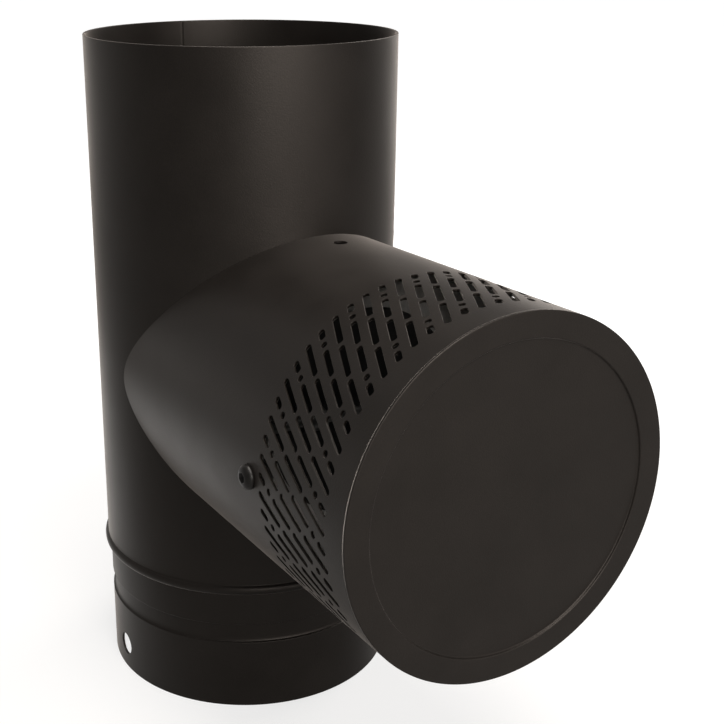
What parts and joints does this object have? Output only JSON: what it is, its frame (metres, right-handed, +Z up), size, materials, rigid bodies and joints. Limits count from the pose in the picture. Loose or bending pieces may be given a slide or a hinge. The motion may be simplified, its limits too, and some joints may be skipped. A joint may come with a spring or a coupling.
{
  "type": "draft regulator",
  "caption": "Black flue-pipe tee with a draft regulator: upright pipe with a beaded spigot, closed side branch with slanted air slots, and a weighted flap on an axle inside the branch.",
  "frame": {"origin": "centre of the lower rim, at the end of the spigot", "axes": "+Z up the flue; the branch points along -Y; +X to the right, seen from the cover"},
  "size_m": [0.157, 0.293, 0.325],
  "materials": {
    "stove_paint": "matte heat-proof paint, brown-black",
    "ring_steel": "plain rolled steel",
    "flap_paint": "matte black paint",
    "small_steel": "bright zinc",
    "bush_brass": "turned",
    "dark_screw": "black oxide",
    "weight_iron": "cast, blackened"
  },
  "bodies": {
    "frame": {"flue_pipe": "stove_paint", "branch_tube": "stove_paint", "front_cover": "stove_paint", "cover_ring": "stove_paint", "regulator_ring": "ring_steel", "seal_lip_upper": "ring_steel", "seal_lip_lower": "ring_steel", "bearing_bracket_right": "ring_steel", "bearing_bracket_left": "ring_steel", "bracket_rivets": "small_steel", "bearing_bush_right": "bush_brass", "bearing_bush_left": "bush_brass", "fixing_screws": "dark_screw", "fixing_nuts": "small_steel"},
    "flap": {"flap_disc": "flap_paint", "flap_axle": "small_steel", "axle_clips": "small_steel", "axle_block_right": "small_steel", "axle_block_left": "small_steel", "block_screws": "small_steel", "weight_rod": "small_steel", "rod_nuts": "small_steel"},
    "weight": {"counterweight": "weight_iron", "weight_set_screw": "dark_screw"}
  },
  "joints": [
    {"name": "flap_swing", "type": "hinge", "parent": "frame", "child": "flap", "pos_m": [0, -0.11825, 0.1726], "axis": [1, 0, 0], "range_deg": [0, 80]},
    {"name": "weight_slide", "type": "slide", "parent": "flap", "child": "weight", "axis": [0, 0, 1], "range_m": [0, 0.016]}
  ]
}
